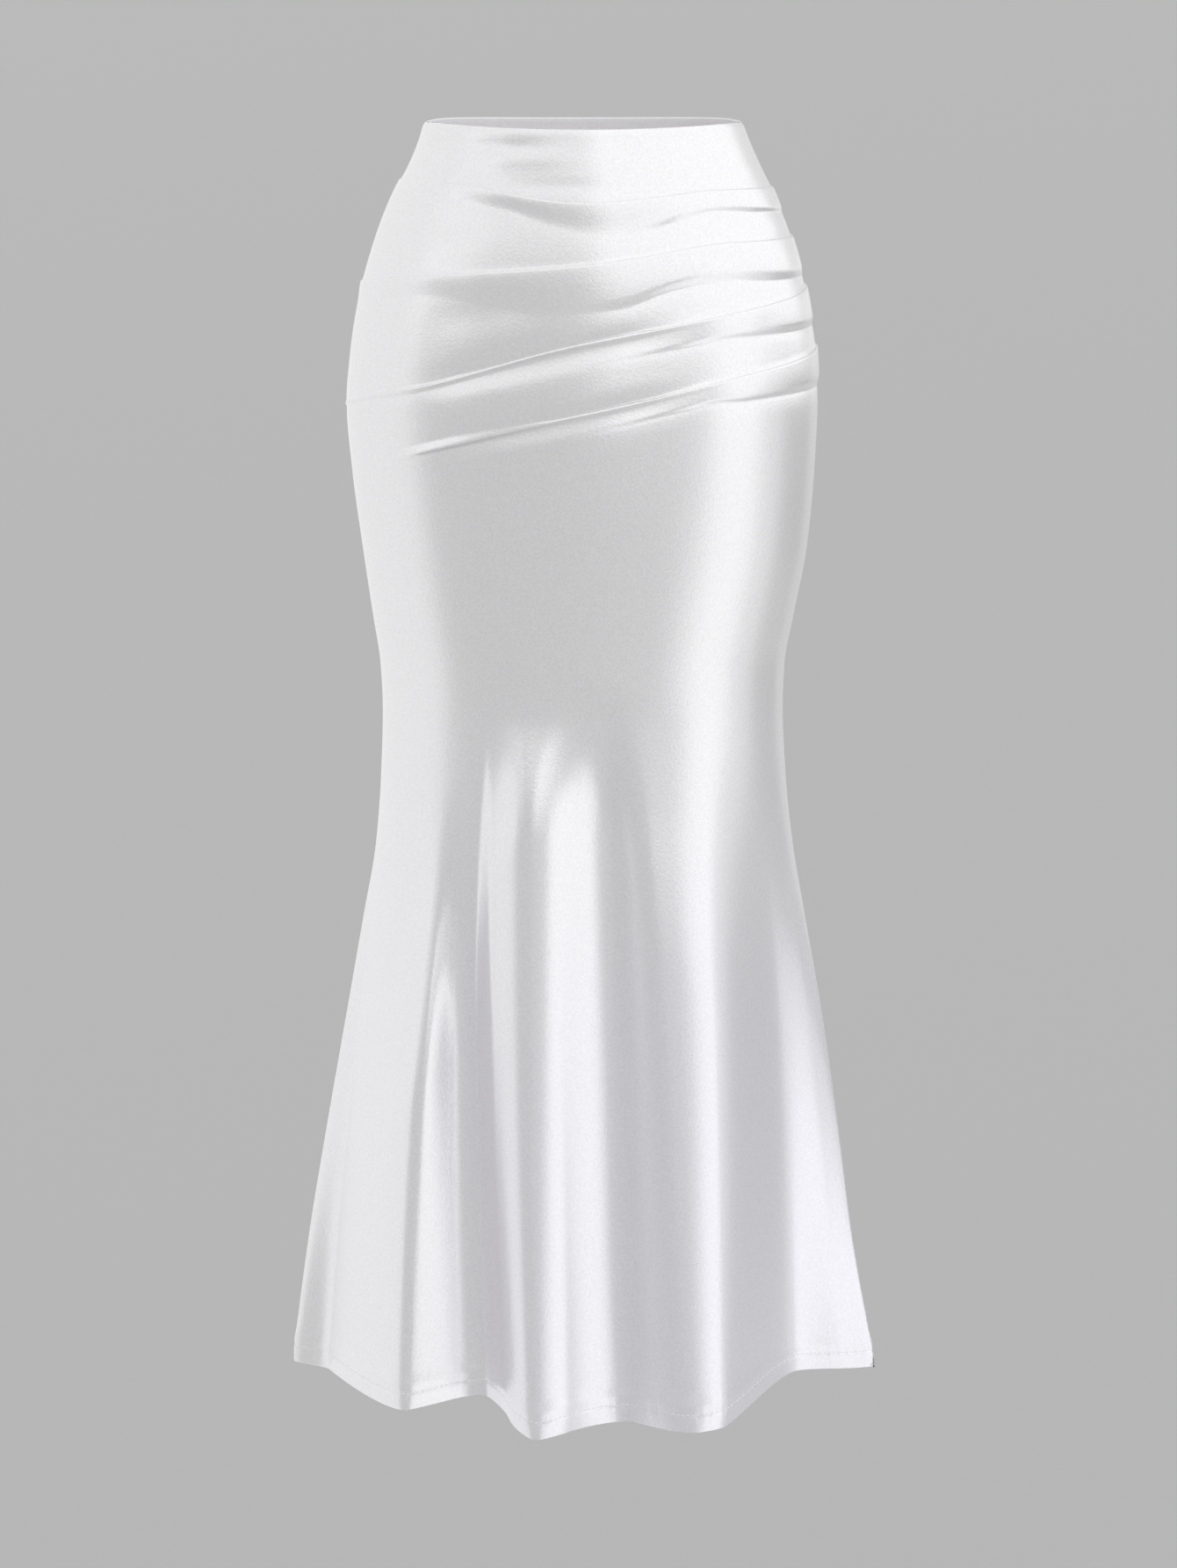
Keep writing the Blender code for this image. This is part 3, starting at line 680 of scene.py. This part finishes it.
def hem_stitches(name, first, last, material):
    """The row of topstitches along a panel's hem, each a short raised length of thread."""
    fine, travelled = hem_travel(first, last)
    pace = STITCH_LENGTH + STITCH_GAP
    starts = np.arange(pace, travelled[-1] - 2 * pace, pace)[:, None, None]
    along = np.array([ring.along for ring in STITCH_RINGS])[None, :, None]
    thick = np.array([ring.thick for ring in STITCH_RINGS])[None, :, None]
    over = np.array([ring.over for ring in STITCH_RINGS])[None, :, None]
    angles = np.radians(np.arange(THREAD_SIDES) * 360 / THREAD_SIDES)[None, None, :]
    turns = np.interp(starts + along * STITCH_LENGTH, travelled, fine) + 0 * angles
    level = HEM_HEIGHT + HEM_DEPTH
    heights = level + THREAD_WIDTH / 2 * thick * np.sin(angles) + 0 * turns
    cloth = hem_relief(turns, level + 0 * turns, first, last)
    outs = cloth + over + THREAD_HEIGHT / 2 * thick * np.cos(angles)
    points = cloth_points(turns, heights, outs, first, last).reshape(-1, 3)
    corner = np.arange(len(points)).reshape(turns.shape)
    beside = np.roll(corner, -1, axis=2)
    quads = np.stack([corner[:, :-1], corner[:, 1:], beside[:, 1:], beside[:, :-1]], axis=-1)
    return mesh_object(name, points, quads.reshape(-1, 4), material)


def mesh_object(name, points, faces, material):
    """A smooth mesh in the scene, in one material."""
    mesh = bpy.data.meshes.new(name)
    mesh.from_pydata(points.tolist(), [], faces.tolist())
    mesh.shade_smooth()
    mesh.materials.append(material)
    piece = bpy.data.objects.new(name, mesh)
    bpy.context.scene.collection.objects.link(piece)
    return piece


def dress(piece, node, with_pieces=()):
    """Attaches a sheet and its pieces to the body, and hides the solid that it stands for."""
    for part in (piece, *with_pieces):
        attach(part, BODY)
    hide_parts(node)


class SatinFinish(bpy.types.PropertyGroup):
    """The white satin of the whole skirt."""

    colour: bpy.props.FloatVectorProperty(
        name="Colour", description="The satin's colour", subtype="COLOR", size=3, min=0, max=1,
        default=(0.90, 0.89, 0.905),
    )
    metallic: bpy.props.FloatProperty(
        name="Lustre", description="How much of the light is mirrored by the floats", subtype="FACTOR",
        min=0, max=1, default=0.65,
    )
    roughness: bpy.props.FloatProperty(
        name="Roughness", description="How blurred the mirrored light is", subtype="FACTOR", min=0, max=1,
        default=0.27,
    )
    # Painted glow: an emission on the band's inner layer that stands in for light coming through the cloth.
    painted_light_through: bpy.props.FloatProperty(
        name="Light through", description="Light that comes through the cloth to the band's inner layer",
        default=0.09,
    )
    wrong_side: bpy.props.FloatProperty(
        name="Wrong side", description="Roughness of the matt side, which faces inwards", subtype="FACTOR",
        min=0, max=1, default=0.6,
    )
    grain: bpy.props.FloatProperty(
        name="Grain", description="Size of the sparkling grain", unit="LENGTH", default=0.0017,
    )
    grain_depth: bpy.props.FloatProperty(
        name="Grain depth", description="Depth of the sparkling grain", unit="LENGTH", default=0.00010,
    )


class StudioSet(bpy.types.PropertyGroup):
    """The floor, the light round the skirt and the camera."""

    floor_height: bpy.props.FloatProperty(
        name="Floor height", description="Height of the floor", unit="LENGTH", default=-3.0,
    )
    camera_distance: bpy.props.FloatProperty(
        name="Camera distance", description="From the skirt's middle to the camera", unit="LENGTH",
        default=3.2,
    )
    camera_height: bpy.props.FloatProperty(
        name="Camera height", description="Height of the camera over the waist", unit="LENGTH", default=0.15,
    )
    camera_side: bpy.props.FloatProperty(
        name="Camera side", description="How far the camera stands to the wearer's left", unit="LENGTH",
        default=0.0036,
    )
    camera_pitch: bpy.props.FloatProperty(
        name="Camera pitch", description="How far the camera looks down", subtype="ANGLE",
        default=math.radians(11.3586),
    )
    lens: bpy.props.FloatProperty(
        name="Lens", description="Focal length in millimetres", subtype="DISTANCE_CAMERA", default=100.0,
    )
    backdrop: bpy.props.FloatVectorProperty(
        name="Backdrop", description="Tone of the floor and of what lies behind it", subtype="COLOR", size=3,
        min=0, max=1, default=(0.479, 0.485, 0.479),
    )
    surround: bpy.props.FloatProperty(
        name="Surround", description="Brightness of the studio between its soft boxes", default=0.50,
    )


# The satin's grain changes its tone between two shares. The colour is painted a little cooler low down and
# towards the wearer's left, a painted cool cast of the light: each pair is how fast that grows per metre,
# and its value at the waist's middle.
GRAIN_TONES = (0.89, 1.09)
PAINTED_LIGHT_TINT = (0.989, 0.987, 1.027)
PAINTED_TINT_DOWN = (-2.9, -1.16)
PAINTED_TINT_LEFT = (3.5, 0.75)

# The two tones of the sewing thread's plies, and how close together the plies lie.
THREAD_TONES = ((0.84, 0.84, 0.85), (0.95, 0.95, 0.96))
PLY_SCALE = 900.0
THREAD_ROUGHNESS = 0.45

# The floor reaches far behind the skirt. Its paint is a share of the backdrop's tone.
FLOOR_HALF = 150.0
FLOOR_SHARE = 0.960
FLOOR_ROUGHNESS = 0.9

# Soft boxes round the skirt. azimuth is where a box's middle stands, in degrees from the front towards the
# wearer's left, half is half its width, bottom and top are its edges over the horizon, blur is how soft its
# edges are, and glow is its brightness. A glow below 0 is a dark cloth that takes light away.
SoftBox = namedtuple("SoftBox", "azimuth half bottom top blur glow")
BOX_SOCKETS = ("Azimuth", "Half", "Bottom", "Top", "Blur", "Glow")
SOFT_BOXES = (
    SoftBox(-126, 58, -60, 95, 9, 0.66),
    SoftBox(62, 15, -60, 1, 7, 0.94),
    SoftBox(87, 10, -60, 1, 8, 0.42),
    SoftBox(43, 5, -60, -15, 5, 0.70),
    SoftBox(112, 26, -60, 1, 14, -0.05),
    SoftBox(112, 26, -60, -16, 10, 0.20),
    SoftBox(158, 22, -60, 1, 14, 0.25),
    SoftBox(132, 32, -4, 2, 8, 0.40),
    SoftBox(-12, 55, -60, 1, 6, 0.17),
    SoftBox(66, 61, 0.5, 95, 8, 0.94),
    SoftBox(147, 20, 0.5, 95, 12, 0.40),
    SoftBox(-30, 38, 11, 95, 17, 0.70),
    SoftBox(-59, 14, 3, 17, 9, 0.42),
)


def new_group(name, inputs, outputs):
    """A shader node group, with the sockets that give its inputs and take its outputs."""
    group = bpy.data.node_groups.new(name, "ShaderNodeTree")
    for way, sockets in (("INPUT", inputs), ("OUTPUT", outputs)):
        for label, kind in sockets.items():
            group.interface.new_socket(name=label, in_out=way, socket_type=f"NodeSocket{kind}")
    return group, group.nodes.new("NodeGroupInput").outputs, group.nodes.new("NodeGroupOutput").inputs


def math_node(tree, operation, *values):
    """One step of arithmetic on numbers or on other nodes' outputs."""
    node = tree.nodes.new("ShaderNodeMath")
    node.operation = operation
    for place, value in enumerate(values):
        if isinstance(value, (int, float)):
            node.inputs[place].default_value = value
        else:
            tree.links.new(value, node.inputs[place])
    return node.outputs[0]


def soft_box_group():
    """Light from one box, as seen along a heading and a height: its glow, fading over its blurred edges."""
    kinds = {name: "Float" for name in ("Heading", "Height", *BOX_SOCKETS)}
    group, given, result = new_group("soft_box", kinds, {"Light": "Float"})

    def inside(distance):
        share = math_node(group, "ADD", math_node(group, "DIVIDE", distance, given["Blur"]), 0.5)
        fade = group.nodes.new("ShaderNodeMapRange")
        fade.interpolation_type = "SMOOTHSTEP"
        group.links.new(share, fade.inputs["Value"])
        return fade.outputs["Result"]

    turned = math_node(group, "SUBTRACT", given["Heading"], given["Azimuth"])
    away = math_node(group, "ABSOLUTE", math_node(group, "WRAP", turned, 180.0, -180.0))
    sideways = math_node(group, "SUBTRACT", given["Half"], away)
    above = math_node(group, "SUBTRACT", given["Height"], given["Bottom"])
    below = math_node(group, "SUBTRACT", given["Top"], given["Height"])
    level = math_node(group, "MULTIPLY", inside(above), inside(below))
    light = math_node(group, "MULTIPLY", inside(sideways), level)
    group.links.new(math_node(group, "MULTIPLY", light, given["Glow"]), result["Light"])
    return group


def studio_world(studio):
    """The studio's light: an even surround with soft boxes in it, behind a backdrop that the camera sees."""
    world = bpy.data.worlds.new("studio")
    world.use_nodes = True
    tree = world.node_tree
    tree.nodes.clear()
    way = tree.nodes.new("ShaderNodeTexCoord")
    parts = tree.nodes.new("ShaderNodeSeparateXYZ")
    tree.links.new(way.outputs["Generated"], parts.inputs[0])
    forward = math_node(tree, "MULTIPLY", parts.outputs["Y"], -1.0)
    heading = math_node(tree, "DEGREES", math_node(tree, "ARCTAN2", parts.outputs["X"], forward))
    height = math_node(tree, "DEGREES", math_node(tree, "ARCSINE", parts.outputs["Z"]))
    group = soft_box_group()
    total = math_node(tree, "ADD", studio.surround, 0.0)
    for box in SOFT_BOXES:
        node = tree.nodes.new("ShaderNodeGroup")
        node.node_tree = group
        tree.links.new(heading, node.inputs["Heading"])
        tree.links.new(height, node.inputs["Height"])
        for name, value in zip(BOX_SOCKETS, box):
            node.inputs[name].default_value = value
        total = math_node(tree, "ADD", total, node.outputs["Light"])
    lit, seen = tree.nodes.new("ShaderNodeBackground"), tree.nodes.new("ShaderNodeBackground")
    tree.links.new(total, lit.inputs["Strength"])
    seen.inputs["Color"].default_value = (*studio.backdrop, 1.0)
    mix, path = tree.nodes.new("ShaderNodeMixShader"), tree.nodes.new("ShaderNodeLightPath")
    tree.links.new(path.outputs["Is Camera Ray"], mix.inputs["Fac"])
    tree.links.new(lit.outputs[0], mix.inputs[1])
    tree.links.new(seen.outputs[0], mix.inputs[2])
    tree.links.new(mix.outputs[0], tree.nodes.new("ShaderNodeOutputWorld").inputs["Surface"])
    return world


def satin_group():
    """The satin's weave: a fine grain, in a tone with a painted cool cast of the light that grows slowly
    towards one side of the flare.
    """
    given_kinds = {"Colour": "Color", "Grain": "Float"}
    group, given, result = new_group("satin_weave", given_kinds, {"Colour": "Color", "Height": "Float"})
    place = group.nodes.new("ShaderNodeTexCoord")

    grain = group.nodes.new("ShaderNodeTexNoise")
    grain.inputs["Detail"].default_value = 1.0
    group.links.new(place.outputs["Object"], grain.inputs["Vector"])
    group.links.new(math_node(group, "DIVIDE", 1.0, given["Grain"]), grain.inputs["Scale"])
    group.links.new(grain.outputs["Fac"], result["Height"])

    parts = group.nodes.new("ShaderNodeSeparateXYZ")
    group.links.new(place.outputs["Object"], parts.inputs[0])
    low = math_node(group, "MULTIPLY_ADD", parts.outputs["Z"], *PAINTED_TINT_DOWN)
    across = math_node(group, "MULTIPLY_ADD", parts.outputs["X"], *PAINTED_TINT_LEFT)
    low.node.use_clamp = across.node.use_clamp = True
    # Painted cool cast of the light: the colour is tinted cooler low down and towards the wearer's left.
    painted_tint = group.nodes.new("ShaderNodeMix")
    painted_tint.data_type = "RGBA"
    painted_tint.blend_type = "MULTIPLY"
    painted_tint.inputs["B"].default_value = (*PAINTED_LIGHT_TINT, 1.0)
    group.links.new(math_node(group, "MULTIPLY", low, across), painted_tint.inputs["Factor"])
    group.links.new(given["Colour"], painted_tint.inputs["A"])

    tone = group.nodes.new("ShaderNodeMapRange")
    tone.inputs["To Min"].default_value, tone.inputs["To Max"].default_value = GRAIN_TONES
    group.links.new(grain.outputs["Fac"], tone.inputs["Value"])
    tinted = group.nodes.new("ShaderNodeVectorMath")
    tinted.operation = "SCALE"
    group.links.new(painted_tint.outputs["Result"], tinted.inputs[0])
    group.links.new(tone.outputs["Result"], tinted.inputs["Scale"])
    group.links.new(tinted.outputs[0], result["Colour"])
    return group


def plain_material(name):
    """A new material and its shader."""
    material = bpy.data.materials.new(name)
    material.use_nodes = True
    return material, material.node_tree.nodes["Principled BSDF"]


def woven_material(name, satin):
    """A material whose colour and bump are the satin's weave, its colour also carrying the painted cool cast
    of the light.
    """
    material, shader = plain_material(name)
    tree = material.node_tree
    weave = tree.nodes.new("ShaderNodeGroup")
    weave.node_tree = bpy.data.node_groups.get("satin_weave") or satin_group()
    weave.inputs["Colour"].default_value = (*satin.colour, 1.0)
    weave.inputs["Grain"].default_value = satin.grain
    tree.links.new(weave.outputs["Colour"], shader.inputs["Base Color"])
    bump = tree.nodes.new("ShaderNodeBump")
    bump.inputs["Distance"].default_value = satin.grain_depth
    tree.links.new(weave.outputs["Height"], bump.inputs["Height"])
    tree.links.new(bump.outputs["Normal"], shader.inputs["Normal"])
    return material, shader


def satin_material(name, satin):
    """White satin: lustrous on its right side and matt on its wrong side."""
    material, shader = woven_material(name, satin)
    tree = material.node_tree
    side = tree.nodes.new("ShaderNodeNewGeometry").outputs["Backfacing"]
    lustre = math_node(tree, "MULTIPLY_ADD", side, -satin.metallic, satin.metallic)
    tree.links.new(lustre, shader.inputs["Metallic"])
    polish = math_node(tree, "MULTIPLY_ADD", side, satin.wrong_side - satin.roughness, satin.roughness)
    tree.links.new(polish, shader.inputs["Roughness"])
    return material


def inside_material(name, satin):
    """The waistband's inner layer: the satin's matt side, with a painted glow in its own colour that stands
    in for a little light through it.
    """
    material, shader = woven_material(name, satin)
    shader.inputs["Roughness"].default_value = satin.wrong_side
    # Painted glow: the inner layer glows faintly in its own colour, as if light came through the cloth.
    shader.inputs["Emission Color"].default_value = (*satin.colour, 1.0)
    shader.inputs["Emission Strength"].default_value = satin.painted_light_through
    return material


def thread_material(name):
    """White sewing thread: its two plies show as a fine slanting change of tone."""
    material, shader = plain_material(name)
    shader.inputs["Roughness"].default_value = THREAD_ROUGHNESS
    tree = material.node_tree
    place = tree.nodes.new("ShaderNodeTexCoord")
    plies = tree.nodes.new("ShaderNodeTexWave")
    plies.bands_direction = "DIAGONAL"
    plies.inputs["Scale"].default_value = PLY_SCALE
    tree.links.new(place.outputs["Object"], plies.inputs["Vector"])
    tone = tree.nodes.new("ShaderNodeMix")
    tone.data_type = "RGBA"
    for socket, colour in zip("AB", THREAD_TONES):
        tone.inputs[socket].default_value = (*colour, 1.0)
    tree.links.new(plies.outputs["Fac"], tone.inputs["Factor"])
    tree.links.new(tone.outputs["Result"], shader.inputs["Base Color"])
    return material


def floor_material(studio):
    """Paint a little darker than the backdrop, because the studio lights the floor more than that."""
    material, shader = plain_material("floor_paint")
    shader.inputs["Base Color"].default_value = (*[FLOOR_SHARE * tone for tone in studio.backdrop], 1.0)
    shader.inputs["Roughness"].default_value = FLOOR_ROUGHNESS
    return material


def sew_panel(context, side, first, rows, creases):
    """One panel, from a side seam round to the other, with the stitches of its hem."""
    last = first + 180
    turns = panel_turns(first, last, PANEL_COLUMNS)

    def shape(turn, height):
        soft = relief(turn, height, creases) + seam_draw(turn, first, last)
        return soft + hem_relief(turn, height, first, last)

    satin = satin_material(f"{side}_satin", context.scene.satin_finish)
    piece = cloth_sheet(f"{side}_panel_cloth", turns, rows(turns), shape, satin)
    thread = thread_material(f"{side}_thread")
    stitches = hem_stitches(f"{side}_hem_stitches", first, last, thread)
    dress(piece, f"skirt_{side}", [stitches])


def sew_band(side, first, satin, inside):
    """One doubled half of the waistband. Its inner layer and the inner half of its fold look matt and carry
    a painted glow.
    """
    turns = np.linspace(first, first + 180, BAND_COLUMNS + 1)

    def shape(turn, height):
        return relief(turn, height, BAND_CREASES) + seam_draw(turn, first, first + 180)

    piece = cloth_sheet(f"{side}_band_cloth", turns, band_rows(turns)[::-1], shape, satin)
    piece.data.materials.append(inside)
    across = len(turns) + 2 * len(SEAM_TURN_IN) - 1
    inner_faces = across * (len(BAND_INSIDE_ROWS) + BAND_FOLD_INSIDE)
    for face in piece.data.polygons:
        face.material_index = int(face.index < inner_faces)
    dress(piece, f"waistband_{side}")


class SKIRT_OT_front(bpy.types.Operator):
    """Sew the front panel with its four tucks and its folds"""

    bl_idname = "skirt.front"
    bl_label = "Front panel"

    def execute(self, context):
        sew_panel(context, "front", -90, front_rows, FRONT_CREASES)
        return {"FINISHED"}


class SKIRT_OT_back(bpy.types.Operator):
    """Sew the plain back panel with its folds"""

    bl_idname = "skirt.back"
    bl_label = "Back panel"

    def execute(self, context):
        sew_panel(context, "back", 90, back_rows, BACK_CREASES)
        return {"FINISHED"}


class SKIRT_OT_waistband(bpy.types.Operator):
    """Sew the doubled waistband, front and back"""

    bl_idname = "skirt.waistband"
    bl_label = "Waistband"

    def execute(self, context):
        satin = satin_material("band_satin", context.scene.satin_finish)
        inside = inside_material("band_inside", context.scene.satin_finish)
        sew_band("front", -90, satin, inside)
        sew_band("back", 90, satin, inside)
        return {"FINISHED"}


class SKIRT_OT_studio(bpy.types.Operator):
    """Set the floor, the light and the camera"""

    bl_idname = "skirt.studio"
    bl_label = "Studio"

    def execute(self, context):
        scene, studio = context.scene, context.scene.studio_set
        scene.world = studio_world(studio)
        scene.view_settings.view_transform = "Standard"
        corners = np.array([(-1, -1, 0), (1, -1, 0), (1, 1, 0), (-1, 1, 0)]) * FLOOR_HALF
        corners[:, 2] = studio.floor_height
        floor = mesh_object("floor", corners, np.array([[0, 1, 2, 3]]), floor_material(studio))
        floor.visible_glossy = floor.visible_diffuse = floor.visible_shadow = False
        camera = bpy.data.objects.new("camera", bpy.data.cameras.new("camera"))
        camera.location = (studio.camera_side, -studio.camera_distance, studio.camera_height)
        camera.rotation_euler = (math.radians(90) - studio.camera_pitch, 0, 0)
        camera.data.lens = studio.lens
        camera.data.sensor_width = 36.0
        scene.collection.objects.link(camera)
        scene.camera = camera
        return {"FINISHED"}


class SKIRT_PT_workshop(bpy.types.Panel):
    """Lists the steps that make the skirt"""

    bl_idname = "SKIRT_PT_workshop"
    bl_label = "Skirt"
    bl_space_type = "VIEW_3D"
    bl_region_type = "UI"
    bl_category = "Skirt"

    def draw(self, context):
        for step in STEPS:
            self.layout.operator(step.bl_idname)


STEPS = (SKIRT_OT_studio, SKIRT_OT_waistband, SKIRT_OT_front, SKIRT_OT_back)
CLASSES = (SatinFinish, StudioSet, *STEPS, SKIRT_PT_workshop)


def register():
    """Adds the skirt's settings, its steps and its panel."""
    for kind in CLASSES:
        bpy.utils.register_class(kind)
    bpy.types.Scene.satin_finish = bpy.props.PointerProperty(type=SatinFinish)
    bpy.types.Scene.studio_set = bpy.props.PointerProperty(type=StudioSet)


def unregister():
    """Takes out what register added."""
    del bpy.types.Scene.studio_set
    del bpy.types.Scene.satin_finish
    for kind in reversed(CLASSES):
        bpy.utils.unregister_class(kind)


def main():
    """Sews the skirt in its studio."""
    register()
    bpy.ops.skirt.studio()
    bpy.ops.skirt.waistband()
    bpy.ops.skirt.front()
    bpy.ops.skirt.back()


if __name__ == "__main__":
    main()
